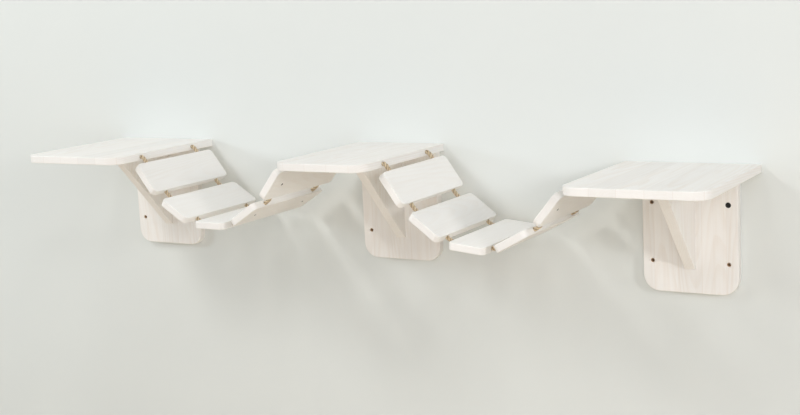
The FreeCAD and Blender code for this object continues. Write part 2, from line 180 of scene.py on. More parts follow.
growth = {  # patterns have a number of waves per metre along, across and through the board
    "staveShift": 7.0,  # most that chance moves the patterns from stave to stave
    "seedShift": 3.7,  # and the seed from board to board
    "slowWarp": (2.6, 11.0, 11.0),
    "slowHeight": 0.022,
    "fineWarp": (16.0, 90.0, 90.0),
    "fineHeight": 0.0016,
    "boldness": (3.0, 40.0, 40.0),  # where the rings show more or less
    "boldSpan": (0.3, 0.7),
    "faintest": 0.25,
    "fibre": (14.0, 900.0, 900.0),
    "streak": (5.0, 130.0, 130.0),
    "roughness": 0.6,  # of the fibre's and the streaks' noise
    "knotCells": 8.0,  # cells per metre, each with one knot or none
    "knotLeast": 0.0016,  # smallest radius
    "knotSpread": 0.006,  # added to it, times the cell's chance
    "knotEdge": (0.75, 1.1),  # shares of a knot's radius over which it fades
    "knotReach": 0.011,  # how far from a knot the rings bend
    "knotBend": 0.006,
    "pithSide": 0.05,  # spread of the pith's place across a stave
    "pithLean": 0.16,  # spread of its slope along the board
    "pithLeast": 0.018,  # smallest depth
    "pithSpread": 0.07,
    "lateRise": (0.25, 0.84),  # shares of a ring's width
    "lateFall": (0.9, 1.0),
    "glueEdge": (0.0001, 0.0006),  # distance from the joint over which its line fades
    "raised": {"late": 0.5, "fibre": 0.6},
    "sunk": {"glue": 0.7, "knot": 0.3},
}


def pineGrainGroup():
    # Growth rings are cylinders round a pith that runs under each stave, leaning
    # and wavering along the board. The rings bend round small knots.
    number, arrow = "NodeSocketFloat", "NodeSocketVector"
    inputs = (
        ("Board place", arrow, None),
        ("Seed", number, 0.0),
        ("Stave width", number, 1.0),
        ("Ring spacing", number, 0.004),
        ("Knots", number, 0.5),
    )
    outputs = ("Late wood", "Fibre", "Streak", "Tone", "Glue line", "Knot", "Height")
    group, start, end = newGroup("pineGrain", inputs, outputs)
    place, seed, staveWidth = (start.outputs[k] for k in ("Board place", "Seed", "Stave width"))
    along, across, through = put(group, "ShaderNodeSeparateXYZ", (place,)).outputs

    count = plus(group, calc(group, "DIVIDE", across, staveWidth), 0.5)  # the whole part numbers the staves
    share = minus(group, calc(group, "FRACT", count), 0.5)  # from -0.5 to 0.5 across a stave
    mark = put(group, "ShaderNodeCombineXYZ", (calc(group, "FLOOR", count), seed, 0.0)).outputs[0]
    chance = put(group, "ShaderNodeTexWhiteNoise", (mark,), noise_dimensions="2D")
    parts = put(group, "ShaderNodeSeparateColor", (chance.outputs["Color"],))
    depthChance, sideChance, leanChance = parts.outputs
    seedShift = times(group, seed, growth["seedShift"])
    shift = timesPlus(group, chance.outputs["Value"], growth["staveShift"], seedShift)

    def pattern(factors, detail=2.0, roughness=0.5):
        # Noise over the board, another piece of it for each stave.
        return noise(group, moved(group, stretched(group, place, factors), shift), 1.0, detail, roughness)

    slowWarp = minus(group, pattern(growth["slowWarp"]), 0.5)
    fineWarp = minus(group, pattern(growth["fineWarp"]), 0.5)
    warp = timesPlus(group, slowWarp, growth["slowHeight"], times(group, fineWarp, growth["fineHeight"]))

    flat = put(group, "ShaderNodeCombineXYZ", (along, across, 0.0)).outputs[0]
    inputs = {"Vector": moved(group, flat, shift), "Scale": growth["knotCells"]}
    cells = put(group, "ShaderNodeTexVoronoi", inputs)
    cellChance = put(group, "ShaderNodeSeparateColor", (cells.outputs["Color"],)).outputs[0]
    there = calc(group, "LESS_THAN", cellChance, start.outputs["Knots"])
    away = calc(group, "DIVIDE", cells.outputs["Distance"], growth["knotCells"])
    knotSize = timesPlus(group, cellChance, growth["knotSpread"], growth["knotLeast"])
    steps = calc(group, "DIVIDE", away, growth["knotReach"])
    nearKnot = calc(group, "EXPONENT", times(group, calc(group, "POWER", steps, 2.0), -1.0))
    bend = times(group, times(group, nearKnot, there), growth["knotBend"])
    knotShare = ramp(group, calc(group, "DIVIDE", away, knotSize), growth["knotEdge"], 1.0, 0.0)
    knot = times(group, knotShare, there)

    sideways = times(group, share, staveWidth)
    sideways = timesPlus(group, minus(group, sideChance, 0.5), growth["pithSide"], sideways)
    slope = timesPlus(group, leanChance, growth["pithLean"], -growth["pithLean"] / 2)
    depth = timesPlus(group, depthChance, growth["pithSpread"], growth["pithLeast"])
    depth = plus(group, depth, plus(group, through, times(group, along, slope)))
    rings = plus(group, distance(group, sideways, depth), plus(group, warp, bend))
    phase = calc(group, "FRACT", calc(group, "DIVIDE", rings, start.outputs["Ring spacing"]))
    falling = ramp(group, phase, growth["lateFall"], 1.0, 0.0)
    late = times(group, ramp(group, phase, growth["lateRise"]), falling)
    boldness = pattern(growth["boldness"], 1.0)
    late = times(group, late, ramp(group, boldness, growth["boldSpan"], growth["faintest"], 1.0))

    fibre = pattern(growth["fibre"], 3.0, growth["roughness"])
    streak = pattern(growth["streak"], 2.0, growth["roughness"])
    border = times(group, minus(group, 0.5, calc(group, "ABSOLUTE", share)), staveWidth)
    glue = ramp(group, border, growth["glueEdge"], 1.0, 0.0)
    raised = timesPlus(group, late, growth["raised"]["late"], times(group, fibre, growth["raised"]["fibre"]))
    sunk = timesPlus(group, glue, growth["sunk"]["glue"], times(group, knot, growth["sunk"]["knot"]))
    height = minus(group, raised, sunk)
    results = (late, fibre, streak, chance.outputs["Value"], glue, knot, height)
    for label, value in zip(outputs, results):
        group.links.new(value, end.inputs[label])
    return group


wear = {
    "stretch": (1.0, 1.0, 9.0),  # scratches are longer sideways than upwards
    "scratchSpan": (0.5, 0.75),
    "scratchRoughness": 0.7,
    "filmScale": 0.3,  # share of the scratches' scale
}


def metalMarksGroup():
    # Fine scratches and a cloudy film, for the heads and shanks of screws.
    inputs = (("Place", "NodeSocketVector", None), ("Scale", "NodeSocketFloat", 900.0))
    group, start, end = newGroup("metalMarks", inputs, ("Scratches", "Film"))
    place, scale = start.outputs["Place"], start.outputs["Scale"]
    lines = noise(group, stretched(group, place, wear["stretch"]), scale, 3.0, wear["scratchRoughness"])
    cloud = noise(group, place, times(group, scale, wear["filmScale"]), 2.0)
    group.links.new(ramp(group, lines, wear["scratchSpan"]), end.inputs["Scratches"])
    group.links.new(cloud, end.inputs["Film"])
    return group


pineGrain = pineGrainGroup()
metalMarks = metalMarksGroup()


# ---- boards

pine = {
    "wash": colour(0.86, 0.847, 0.823),  # white glaze over early wood
    "late": colour(0.70, 0.60, 0.50),  # late wood showing through
    "streak": colour(0.81, 0.775, 0.73),
    "knot": colour(0.50, 0.36, 0.24),
    "raw": colour(0.42, 0.27, 0.15),  # unglazed wood in the screw holes, darkened as painted shade
    "lateShare": 0.2,
    "endShare": 0.3,  # how much of the grain's contrast is left on the boards' ends
    "endSpan": (0.3, 0.9),  # cosine between a face's normal and the grain
    "streakShare": 0.45,
    "streakSpan": (0.45, 0.7),
    "glueShare": 0.3,
    "knotShare": 0.45,
    "knots": 0.25,  # share of the cells with a knot
    "toneSpread": 0.05,
    "fibreSpread": 0.06,
    "roughness": 0.58,
    "lateGloss": 0.08,  # late wood is that much less rough
    "fibreRough": 0.16,
    "bump": 0.5,
    "relief": 0.00012,  # height of the raised grain
    "ringSpacing": 0.0042,
}
wallHoles = {
    "spacing": 0.14,
    "rise": 0.107,
    "above": 0.056,  # lower pair over the plate's lower edge
    "radius": 0.0036,
    "back": 0.0005,  # the mask stops this short of the wall
}


def shadedHoleMask(tree, where, low, high):
    # One inside the four screw holes of a back plate, nought on its faces. The holes get unglazed wood with
    # painted shade.
    x, y, z = put(tree, "ShaderNodeSeparateXYZ", (where,)).outputs
    level = low.z + wallHoles["above"] + wallHoles["rise"] / 2
    centres = ((x, (low.x + high.x) / 2, wallHoles["spacing"]), (z, level, wallHoles["rise"]))
    steps = [minus(tree, calc(tree, "ABSOLUTE", minus(tree, value, centre)), apart / 2)
             for value, centre, apart in centres]
    within = calc(tree, "LESS_THAN", distance(tree, *steps), wallHoles["radius"])
    return times(tree, within, calc(tree, "LESS_THAN", y, -wallHoles["back"]))


def pineMaterial(name, centre, grain, across, staveWidth, seed, contrast=1.0, plate=None):
    # The board's own coordinates: X along its grain, Y across its face, Z through it.
    material, tree, surface = newMaterial(name, Roughness=pine["roughness"])
    basis = Matrix((grain, across, grain.cross(across)))  # rows turn the frame to the board
    where = objectPlace(tree)
    inputs = {"Vector": where, "Location": -(basis @ centre), "Rotation": basis.to_euler()}
    placed = put(tree, "ShaderNodeMapping", inputs, vector_type="POINT").outputs[0]
    inputs = {
        "Board place": placed,
        "Seed": seed,
        "Stave width": staveWidth,
        "Ring spacing": pine["ringSpacing"],
        "Knots": pine["knots"],
    }
    wood = put(tree, "ShaderNodeGroup", inputs, node_tree=pineGrain).outputs
    normal = put(tree, "ShaderNodeNewGeometry").outputs["True Normal"]
    facing = put(tree, "ShaderNodeVectorMath", (normal, grain), operation="DOT_PRODUCT").outputs["Value"]
    endOn = calc(tree, "ABSOLUTE", facing)
    shown = ramp(tree, endOn, pine["endSpan"], contrast, contrast * pine["endShare"])
    streaks = ramp(tree, wood["Streak"], pine["streakSpan"])
    streaks = times(tree, streaks, times(tree, shown, pine["streakShare"]))
    late = times(tree, wood["Late wood"], times(tree, shown, pine["lateShare"]))
    body = blendColour(tree, streaks, pine["wash"], pine["streak"])
    body = blendColour(tree, late, body, pine["late"])
    body = blendColour(tree, times(tree, wood["Glue line"], pine["glueShare"]), body, pine["late"])
    body = blendColour(tree, times(tree, wood["Knot"], pine["knotShare"]), body, pine["knot"])
    tone = timesPlus(tree, wood["Tone"], pine["toneSpread"], 1 - pine["toneSpread"])
    fine = timesPlus(tree, wood["Fibre"], pine["fibreSpread"], 1 - pine["fibreSpread"] / 2)
    body = shaded(tree, body, times(tree, tone, fine))
    # screw holes: unglazed wood, darkened as painted shade in the bores
    if plate:
        body = blendColour(tree, shadedHoleMask(tree, where, *plate), body, pine["raw"])
    tree.links.new(body, surface.inputs["Base Color"])
    rough = timesPlus(tree, wood["Fibre"], pine["fibreRough"], pine["roughness"] - pine["fibreRough"] / 2)
    rough = timesPlus(tree, wood["Late wood"], -pine["lateGloss"], rough)
    tree.links.new(rough, surface.inputs["Roughness"])
    raiseSurface(tree, surface, wood["Height"], pine["bump"], pine["relief"])
    return material


def give(name, material):
    # The CAD node keeps its mesh and takes the material.
    mesh = nodes[name].data
    mesh.materials.clear()
    mesh.materials.append(material)


def middleOf(name):
    low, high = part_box(name)
    return (low + high) / 2


shelfNames = ("left", "middle", "right")
alongX, outward, upward = Vector((1, 0, 0)), Vector((0, -1, 0)), Vector((0, 0, 1))
boards = {
    "platform": {"grain": outward, "across": alongX, "staveWidth": 0.047},
    "back_plate": {"grain": upward, "across": alongX, "staveWidth": 0.044},
    "gusset": {"grain": upward, "across": outward, "staveWidth": 0.6},  # one plain board
}
seeds = {"shelf": 3.1, "board": 1.7, "slat": 2.3, "left": 20, "right": 33}  # no two boards alike
for number, shelf in enumerate(shelfNames):
    for order, (part, board) in enumerate(boards.items(), start=1):
        name = f"{shelf}_{part}"
        seed = seeds["shelf"] * number + seeds["board"] * order
        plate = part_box(name) if part == "back_plate" else None
        give(name, pineMaterial(name + "Pine", middleOf(name), seed=seed, plate=plate, **board))
print("shelf boards finished")


# ---- bridges: where their ropes bend and their slats lie

bridges = {"left": ("left", "middle"), "right": ("middle", "right")}
slatCount = 5
slatGrain = {"staveWidth": 0.5, "contrast": 0.5}  # one board each, glazed more thickly
slatLow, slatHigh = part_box("left_slat_3")  # the level slat gives the board's own size
slatWidth, slatThickness = slatHigh.x - slatLow.x, slatHigh.z - slatLow.z
jointPlaces = {joint["name"]: Vector(joint["pos_m"]) for joint in frame["joints"]}


def bendsOf(side):
    # The six bends: five at the joints, the last one as far from its platform as the
    # first. Also gives that distance.
    fromShelf, toShelf = bridges[side]
    names = [f"{side}_bridge_sway"] + [f"{side}_slat_{i}_tilt" for i in range(2, slatCount + 1)]
    bends = [jointPlaces[name].copy() for name in names]
    start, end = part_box(f"{fromShelf}_platform"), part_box(f"{toShelf}_platform")
    lead = bends[0].x - start[1].x
    bends.append(Vector((end[0].x - lead, bends[0].y, (end[0].z + end[1].z) / 2)))
    return bends, lead


leftBends = bendsOf("left")[0]
ropeGap = (leftBends[2] - leftBends[1]).length - slatWidth


def slatSpans(side):
    # Each slat's direction along the bridge, and where a rope enters it.
    bends, lead = bendsOf(side)
    spans = []
    for i in range(slatCount):
        along = (bends[i + 1] - bends[i]).normalized()
        before = ropeGap - lead if i == 0 else ropeGap / 2
        spans.append((along, bends[i] + along * before))
    return spans


def slatFrames(side):
    # Each slat's centre, its direction along the bridge and its upward normal.
    return [(mouth + along * (slatWidth / 2), along, outward.cross(along))
            for along, mouth in slatSpans(side)]


for side in bridges:
    for i, (centre, along, normal) in enumerate(slatFrames(side), start=1):
        name = f"{side}_slat_{i}"
        seed = seeds[side] + seeds["slat"] * i
        give(name, pineMaterial(name + "Pine", centre, outward, along, seed=seed, **slatGrain))
print("slats finished")


# ---- meshes from numpy grids

def gridFaces(rows, columns, first):
    # Quads between neighbouring rows of a tube whose columns close on themselves.
    i, j = np.meshgrid(np.arange(rows - 1), np.arange(columns), indexing="ij")
    onward = (j + 1) % columns
    corners = (i * columns + j, i * columns + onward, (i + 1) * columns + onward, (i + 1) * columns + j)
    return np.stack(corners, -1).reshape(-1, 4) + first


def gridUvs(rows, columns, lengths):
    # Round the tube as U from 0 to 1, and along it as V in metres.
    i, j = np.meshgrid(np.arange(rows - 1), np.arange(columns), indexing="ij")
    us = np.stack((j, j + 1, j + 1, j), -1) / columns
    vs = lengths[np.stack((i, i, i + 1, i + 1), -1)]
    return np.stack((us, vs), -1).reshape(-1, 2)


def meshFromTubes(name, tubes):
    # One object of closed tubes, each a grid of points (rows, columns, 3) and its lengths.
    points, quads, uvs, caps = [], [], [], []
    first = 0
    for grid, lengths in tubes:
        rows, columns, _ = grid.shape
        points.append(grid.reshape(-1, 3))
        quads.append(gridFaces(rows, columns, first))
        uvs.append(gridUvs(rows, columns, lengths))
        ring = np.arange(columns)
        caps.append((first + ring[::-1]).tolist())
        caps.append((first + (rows - 1) * columns + ring).tolist())
        first += rows * columns
    mesh = bpy.data.meshes.new(name)
    mesh.from_pydata(np.concatenate(points), [], np.concatenate(quads).tolist() + caps)
    quadUvs = np.concatenate(uvs)
    allUvs = np.zeros((len(mesh.loops), 2))  # the caps come last and stay at nought
    allUvs[:len(quadUvs)] = quadUvs
    mesh.uv_layers.new(name="UVMap").data.foreach_set("uv", allUvs.ravel())
    mesh.shade_smooth()
    thing = bpy.data.objects.new(name, mesh)
    bpy.context.scene.collection.objects.link(thing)
    return thing


def unit(vectors):
    return vectors / np.linalg.norm(vectors, axis=-1, keepdims=True)


def tubeRound(middle, first, second, turns, radius):
    # Rings round a line: its two cross directions times the cosine and the sine of
    # each turn, times the radius there.
    ring = first[:, None, :] * np.cos(turns)[:, None] + second[:, None, :] * np.sin(turns)[:, None]
    return middle[:, None, :] + ring * radius[:, :, None]


# ---- ropes

rope = {
    "radius": 0.004,
    "strands": 3,
    "swell": 1.04,  # strands a little thicker than round ones that just touch
    "lay": 0.021,  # length of one turn of a strand
    "yarns": 6,  # ridges round a strand
    "yarnLay": 0.011,
    "yarnHeight": 0.07,  # share of the strand's radius
    "yarnMiddle": 0.6,  # height in a ridge that has the strand's own radius
    "step": 0.0007,
    "around": 20,
    "seat": 0.035,  # depth in the platforms
    "tuck": 0.010,  # how far the last stretch enters the platform's bore
    "smoothing": 24,  # steps between control points
    "tiny": 1e-9,  # for comparing lengths
}
hair = {
    "count": 46,  # stray fibres in each gap
    "points": 6,
    "length": 0.0042,
    "shortest": 0.4,  # share of the length
    "radius": 0.000045,
    "taper": 0.75,  # share of the radius lost at the tip
    "root": 0.9,  # share of the rope's radius
    "run": 0.8,  # share of the length that goes along the rope
    "lift": (0.15, 0.5),  # share of the length that stands out from it
    "curl": 2.2,  # radians of the sine that lifts it
    "sideways": 0.6,  # most that it swings to one side, as a share of the length
    "sideLean": 0.1,  # with evenLean, keeps its cross direction off its own
    "evenLean": 0.01,
}


def ropeRoute(side, depth):
    # Control points: both seats, the bore mouths and the bends, in order along the rope.
    bends, _ = bendsOf(side)
    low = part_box(f"{bridges[side][0]}_platform")[1].x
    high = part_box(f"{bridges[side][1]}_platform")[0].x
    points = [Vector((low - rope["seat"], 0, bends[0].z)), Vector((low, 0, bends[0].z)), bends[0]]
    for (along, mouth), bend in zip(slatSpans(side), bends[1:]):
        points += [mouth, mouth + along * slatWidth, bend]
    points += [Vector((high, 0, bends[-1].z)), Vector((high + rope["seat"], 0, bends[-1].z))]
    return [Vector((p.x, depth, p.z)) for p in points]


def smoothLine(points):
    # The NURBS spline of the control points, read back as evenly spaced places.
    curve = bpy.data.curves.new("route", "CURVE")
    curve.dimensions = "3D"
    spline = curve.splines.new("NURBS")
    spline.points.add(len(points) - 1)
    for spot, point in zip(spline.points, points):
        spot.co = (*point, 1)
    spline.order_u = 3
    spline.use_endpoint_u = True
    spline.resolution_u = rope["smoothing"]
    holder = bpy.data.objects.new("route", curve)
    line = bpy.data.meshes.new_from_object(holder)
    raw = np.zeros(len(line.vertices) * 3)
    line.vertices.foreach_get("co", raw)
    raw = raw.reshape(-1, 3)
    bpy.data.objects.remove(holder)
    bpy.data.curves.remove(curve)
    bpy.data.meshes.remove(line)
    lengths = np.r_[0, np.cumsum(np.linalg.norm(np.diff(raw, axis=0), axis=1))]
    even = np.linspace(0, lengths[-1], int(lengths[-1] / rope["step"]) + 1)
    return np.stack([np.interp(even, lengths, raw[:, k]) for k in range(3)], -1), even


def strandGrids(line, lengths):
    # A strand winds round the rope's line at a fixed distance; its own radius rises
    # and falls round it in ridges that wind the other way.
    count = rope["strands"]
    thin = rope["radius"] / (1 + 1 / math.sin(math.pi / count)) * rope["swell"]
    offset = rope["radius"] - thin
    forward = unit(np.gradient(line, axis=0))
    level = np.broadcast_to(np.array([0.0, 1.0, 0.0]), forward.shape)
    upright = np.cross(level, forward)
    around = np.linspace(0, 2 * math.pi, rope["around"], endpoint=False)
    grids = []
    for k in range(count):
        angle = 2 * math.pi * (k / count + lengths / rope["lay"])
        out = upright * np.cos(angle)[:, None] + level * np.sin(angle)[:, None]
        middle = line + out * offset
        heading = unit(np.gradient(middle, axis=0))
        first = unit(out - heading * np.sum(out * heading, axis=1, keepdims=True))
        wave = rope["yarns"] * (around[None, :] + 2 * math.pi * lengths[:, None] / rope["yarnLay"])
        ridge = np.abs(np.cos(wave / 2)) - rope["yarnMiddle"]
        radius = thin * (1 + rope["yarnHeight"] * ridge)
        grids.append(tubeRound(middle, first, np.cross(heading, first), around, radius))
    return grids


def hairGrids(line, lengths, low, high, seed):
    # Stray fibres: each leaves the rope's skin and curls over along it, a thin
    # three-sided tube that tapers to its tip.
    chance = np.random.default_rng(seed)
    forward = unit(np.gradient(line, axis=0))
    share = np.linspace(0, 1, hair["points"])
    turns = np.array([0, 2 * math.pi / 3, 4 * math.pi / 3])
    thick = hair["radius"] * (1 - hair["taper"] * share)
    grids = []
    for at in chance.uniform(low, high, hair["count"]):
        i = int(np.searchsorted(lengths, at).clip(1, len(lengths) - 2))
        ahead = forward[i] * chance.choice([-1, 1])
        angle = chance.uniform(0, 2 * math.pi)
        upright = np.cross([0, 1, 0], forward[i])
        out = upright * math.cos(angle) + np.array([0, 1, 0]) * math.sin(angle)
        side = np.cross(ahead, out) * chance.uniform(-hair["sideways"], hair["sideways"])
        long = hair["length"] * chance.uniform(hair["shortest"], 1.0)
        lift = np.sin(share * hair["curl"]) * chance.uniform(*hair["lift"])
        growing = share[:, None] * ahead * hair["run"] + lift[:, None] * out + (share ** 2)[:, None] * side
        path = line[i] + out * rope["radius"] * hair["root"] + long * growing
        heading = unit(np.gradient(path, axis=0))
        first = unit(np.cross(heading, out + side * hair["sideLean"] + hair["evenLean"]))
        grid = tubeRound(path, first, np.cross(heading, first), turns, thick[:, None])
        grids.append((grid, share * long))
    return grids


jute = {
    "pale": colour(0.78, 0.66, 0.46),
    "dark": colour(0.40, 0.28, 0.16),
    "grooveShade": 0.3,  # painted shade: brightness between the strands
    "grooveShadeSpan": (-0.1, 0.75),  # cosine of the turn from a strand's outer side, over which the painted shade fades
    "roughness": 0.85,
    "roughSpread": 0.2,
    "fibres": 34.0,  # fibre lines round a strand
    "slant": 260.0,  # how far they wind, per metre
    "fibreWaves": 120.0,  # changes along a fibre, per metre
    "fibreRoughness": 0.65,
    "patches": 160.0,  # per metre
    "patchShare": 0.35,
    "span": (0.3, 0.7),  # noise over which dark turns to pale
    "bump": 0.9,
    "relief": 0.00015,
    "sheen": 0.25,
    "sheenRoughness": 0.6,
}


def juteMaterial():
    # Fibre lines wind along each strand, read from its own UV map. Painted shade darkens each strand towards
    # the grooves between strands.
    sheen = {"Sheen_Weight": jute["sheen"], "Sheen_Roughness": jute["sheenRoughness"]}
    material, tree, surface = newMaterial("juteRope", Roughness=jute["roughness"], **sheen)
    uv = put(tree, "ShaderNodeUVMap", uv_map="UVMap").outputs[0]
    u, v, _ = put(tree, "ShaderNodeSeparateXYZ", (uv,)).outputs
    winding = timesPlus(tree, v, jute["slant"] / rope["yarns"], u)
    steps = (times(tree, winding, jute["fibres"]), times(tree, v, jute["fibreWaves"]), 0.0)
    lines = put(tree, "ShaderNodeCombineXYZ", steps).outputs[0]
    fine = noise(tree, lines, 1.0, 3.0, jute["fibreRoughness"])
    patches = noise(tree, objectPlace(tree), jute["patches"], 2.0)
    fineShare = times(tree, ramp(tree, fine, jute["span"]), 1 - jute["patchShare"])
    mixed = timesPlus(tree, ramp(tree, patches, jute["span"]), jute["patchShare"], fineShare)
    # painted shade: each strand darker on its sides, into the grooves
    outside = calc(tree, "COSINE", times(tree, u, 2 * math.pi))
    light = ramp(tree, outside, jute["grooveShadeSpan"], jute["grooveShade"], 1.0)
    body = shaded(tree, blendColour(tree, mixed, jute["dark"], jute["pale"]), light)
    tree.links.new(body, surface.inputs["Base Color"])
    rough = timesPlus(tree, fine, jute["roughSpread"], jute["roughness"] - jute["roughSpread"] / 2)
    tree.links.new(rough, surface.inputs["Roughness"])
    raiseSurface(tree, surface, fine, jute["bump"], jute["relief"])
    return material


juteRope = juteMaterial()


def ropePiece(name, line, lengths, strands, low, high, gap, node, seed):
    # One stretch between two lengths along the rope, with hairs where it is in the open.
    keep = (lengths >= low - rope["tiny"]) & (lengths <= high + rope["tiny"])
    tubes = [(grid[keep], lengths[keep]) for grid in strands]
    if gap:
        tubes += hairGrids(line[keep], lengths[keep], *gap, seed)
    piece = meshFromTubes(name, tubes)
    piece.data.materials.append(juteRope)
    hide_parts(node)
    return piece


def nearestLength(line, lengths, point):
    # How far along the rope its line passes closest to the point.
    return float(lengths[np.argmin(np.linalg.norm(line - np.array(point), axis=1))])


ropeSeeds = {"left": 0, "right": 100, "front": 0, "rear": 50, "last": 9}  # own hairs on each stretch


def dressRope(side, which, depth, seed):
    # Stretches from the middle of one board to the middle of the next, each crossing its own joint, where the
    # rope turns. The last one belongs to slat 5, the stub to the platform.
    node = f"{side}_{which}_rope"
    route = ropeRoute(side, depth)
    line, lengths = smoothLine(route)
    whole = (line, lengths, strandGrids(line, lengths))
    mouths = [p for k, p in enumerate(route[1:-1]) if k % 3 != 1]  # out of a board, into the next
    at = [nearestLength(line, lengths, m) for m in mouths]
    bodies = ["shelves"] + [f"{side}_slat_{i}" for i in range(1, slatCount + 1)]
    begin = 0.0
    for i in range(slatCount):
        gap = (at[2 * i], at[2 * i + 1])
        close = (gap[1] + at[2 * i + 2]) / 2
        piece = ropePiece(f"{node}_{i + 1}", *whole, begin, close, gap, node, seed + i)
        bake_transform(piece)
        begin = close
    inside = at[-1] + rope["tuck"]
    lastSeed = seed + ropeSeeds["last"]
    last = ropePiece(f"{node}_{slatCount + 1}", *whole, begin, inside, (at[-2], at[-1]), node, lastSeed)
    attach(last, bodies[-1])
    stub = ropePiece(f"{node}_end", *whole, inside, lengths[-1], None, node, seed)
    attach(stub, "shelves")
    print(node, "is", round(1000 * lengths[-1]), "mm long")


pinLow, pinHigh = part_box("left_slat_3_pins")
pinHead = (pinHigh.x - pinLow.x) / 2
ropeDepths = {"front": pinLow.y + pinHead, "rear": pinHigh.y - pinHead}  # each pin is under its rope
for side in bridges:
    for which, depth in ropeDepths.items():
        dressRope(side, which, depth, ropeSeeds[side] + ropeSeeds[which])
print("ropes finished")


# ---- screws

screws = {
    "pin": {"core": 0.00085, "thread": 0.0012, "pitch": 0.0011, "rows": 7, "columns": 20, "recess": 0.0011},
    "gusset": {"core": 0.0014, "thread": 0.002, "pitch": 0.0022, "rows": 8, "columns": 32, "recess": 0.0018},
    "wall": {"core": 0.0017, "thread": 0.0025, "pitch": 0.0026, "rows": 10, "columns": 48, "recess": 0.0024},
}
head = {
    "rings": (0.0, 0.07, 0.12, 0.14, 0.2, 0.3, 0.4, 0.5, 0.55, 0.57, 0.7, 0.85, 0.96),  # shares of its radius
    "armWidth": 0.13,  # half the width of the cross's arms, as a share of the radius
    "armReach": 0.56,
    "armSlope": 0.55,  # share of the recess's depth lost at an arm's end
    "rim": 0.04,  # drop at the edge, as a share of the radius
    "coneRings": 6,
}
shank = {
    "plain": 0.12,  # share of its length without thread
    "ridge": 3.2,  # how narrow the thread is
    "tip": 3,  # length of the point, in thread radii
    "sharpest": 0.04,  # share of the radius left at the very end
}
joinWithin = 1e-7
sharpAngle = math.radians(35)
ringStep = 0.001  # V from one ring to the next
mostSpin = 1.5  # screws stop at any turn, and a cross repeats after a quarter


def crossRecess(x, y, radius, depth):
    # A cross: deep where the point is near either axis and not too far out.
    far = radius * head["armReach"]
    arms = np.minimum(np.abs(x), np.abs(y)) < radius * head["armWidth"]
    within = np.maximum(np.abs(x), np.abs(y)) < far
    slope = 1 - head["armSlope"] * np.hypot(x, y) / far
    return np.where(arms & within, depth * slope, 0.0)


def ringsOf(turn, radii, depths):
    # Circles round the Z axis, each with its radius and depth.
    x, y = radii * np.cos(turn), radii * np.sin(turn)
    return np.stack((x, y, np.broadcast_to(depths, x.shape)), -1)


def screwGrid(radius, headDepth, long, kind):
    # Rings from the middle of the head's face to the tip, turned round the axis: the
    # face dips into its recess, and a ridge winds down the shank.
    size = screws[kind]
    turn = np.linspace(0, 2 * math.pi, size["columns"], endpoint=False)
    face = ringsOf(turn, radius * np.array(head["rings"])[:, None], 0.0)
    face[..., 2] = crossRecess(face[..., 0], face[..., 1], radius, size["recess"])
    cone = np.linspace(radius, size["core"], head["coneRings"])
    fall = np.linspace(head["rim"] * radius, headDepth, head["coneRings"])
    down = np.arange(headDepth, long, size["pitch"] / size["rows"])[1:]
    wave = (down[:, None] - size["pitch"] * turn / (2 * math.pi)) / size["pitch"]
    ridge = np.clip(1 - shank["ridge"] * np.abs(wave - np.round(wave)), 0, 1)
    taper = np.clip((long - down) / (shank["tip"] * size["thread"]), shank["sharpest"], 1)[:, None]
    threaded = (down > headDepth + (long - headDepth) * shank["plain"])[:, None]
    radii = (size["core"] + (size["thread"] - size["core"]) * ridge * threaded) * taper
    rings = [face, ringsOf(turn, cone[:, None], fall[:, None]), ringsOf(turn, radii, down[:, None])]
    return np.concatenate(rings)


def screwPiece(node, places, radius, headDepth, long, kind, material, slot):
    # The node's screws in one piece: each place is a head's middle, an axis and a spin.
    grid = screwGrid(radius, headDepth, long, kind)
    tubes = []
    for place, axis, spin in places:
        turn = axis.to_track_quat("Z", "Y").to_matrix() @ Matrix.Rotation(spin, 3, "Z")
        tubes.append((grid @ np.array(turn).T + np.array(place), np.arange(len(grid)) * ringStep))
    piece = meshFromTubes(f"{node}_dressed", tubes)
    shape = bmesh.new()
    shape.from_mesh(piece.data)
    bmesh.ops.remove_doubles(shape, verts=shape.verts, dist=joinWithin)
    bmesh.ops.recalc_face_normals(shape, faces=shape.faces)
    shape.to_mesh(piece.data)
    shape.free()
    piece.data.set_sharp_from_angle(angle=sharpAngle)
    piece.data.materials.append(material)
    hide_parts(node)
    return piece


metals = {
    "zinc": {
        "base": colour(0.62, 0.60, 0.55),
        "marked": colour(0.74, 0.72, 0.66),
        "metallic": 1.0,
        "roughness": 0.38,
    },
    "black": {  # phosphate, not bare metal
        "base": colour(0.01, 0.01, 0.01),
        "marked": colour(0.03, 0.03, 0.03),
        "metallic": 0.0,
        "roughness": 0.75,
    },
}
filmSpread = 0.3  # how much the film changes the roughness


def screwMaterial(name, base, marked, metallic, roughness):
    material, tree, surface = newMaterial(name, Metallic=metallic)
    marks = put(tree, "ShaderNodeGroup", {"Place": objectPlace(tree)}, node_tree=metalMarks).outputs
    tree.links.new(blendColour(tree, marks["Scratches"], base, marked), surface.inputs["Base Color"])
    rough = timesPlus(tree, marks["Film"], filmSpread, roughness - filmSpread / 2)
    tree.links.new(rough, surface.inputs["Roughness"])
    return material


zinc = screwMaterial("zincScrew", **metals["zinc"])
black = screwMaterial("blackScrew", **metals["black"])
pinSize = {
    "radius": pinHead,
    "headDepth": 0.0013,
    "long": 0.012,
    "kind": "pin",
    "material": black,
    "slot": "black_screw",
}
chance = np.random.default_rng(7)

for side in bridges:
    for i, (centre, along, normal) in enumerate(slatFrames(side), start=1):
        node = f"{side}_slat_{i}_pins"
        face = centre - normal * (slatThickness / 2)
        spots = [Vector((face.x, depth, face.z)) for depth in ropeDepths.values()]
        places = [(spot, normal, chance.uniform(0, mostSpin)) for spot in spots]
        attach(screwPiece(node, places, **pinSize), f"{side}_slat_{i}")

